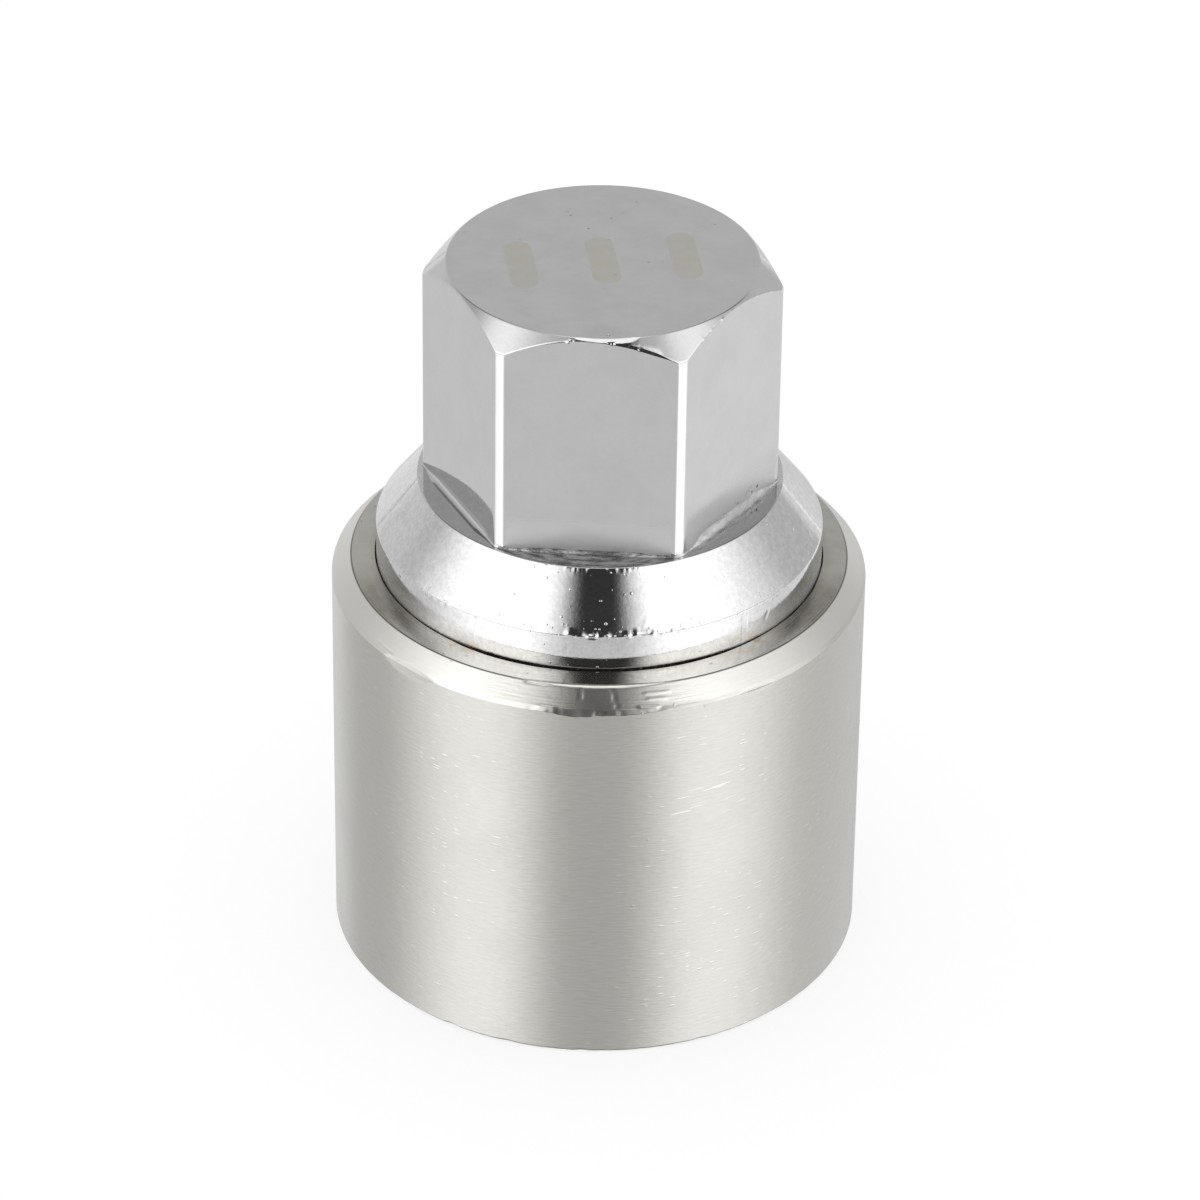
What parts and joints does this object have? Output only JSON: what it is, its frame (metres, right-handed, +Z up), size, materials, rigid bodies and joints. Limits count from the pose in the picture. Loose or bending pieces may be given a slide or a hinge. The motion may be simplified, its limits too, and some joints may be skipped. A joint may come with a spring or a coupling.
{
  "type": "wheel lock key",
  "caption": "Key for a locking wheel bolt: chrome hexagon drive head on a conical collar, pressed into a satin sleeve that hides a coded spigot.",
  "frame": {"origin": "centre of the sleeve's lower end, on the surface the key stands on", "axes": "+Z up along the key's axis towards the hexagon head, +X through a corner of the hexagon"},
  "size_m": [0.0294, 0.0294, 0.0416],
  "materials": {
    "chrome": "bright chrome plate with small nicks",
    "satin_nickel": "satin nickel plate with fine scratches"
  },
  "bodies": {
    "root": {"key_body": "chrome", "outer_sleeve": "satin_nickel"}
  },
  "joints": []
}
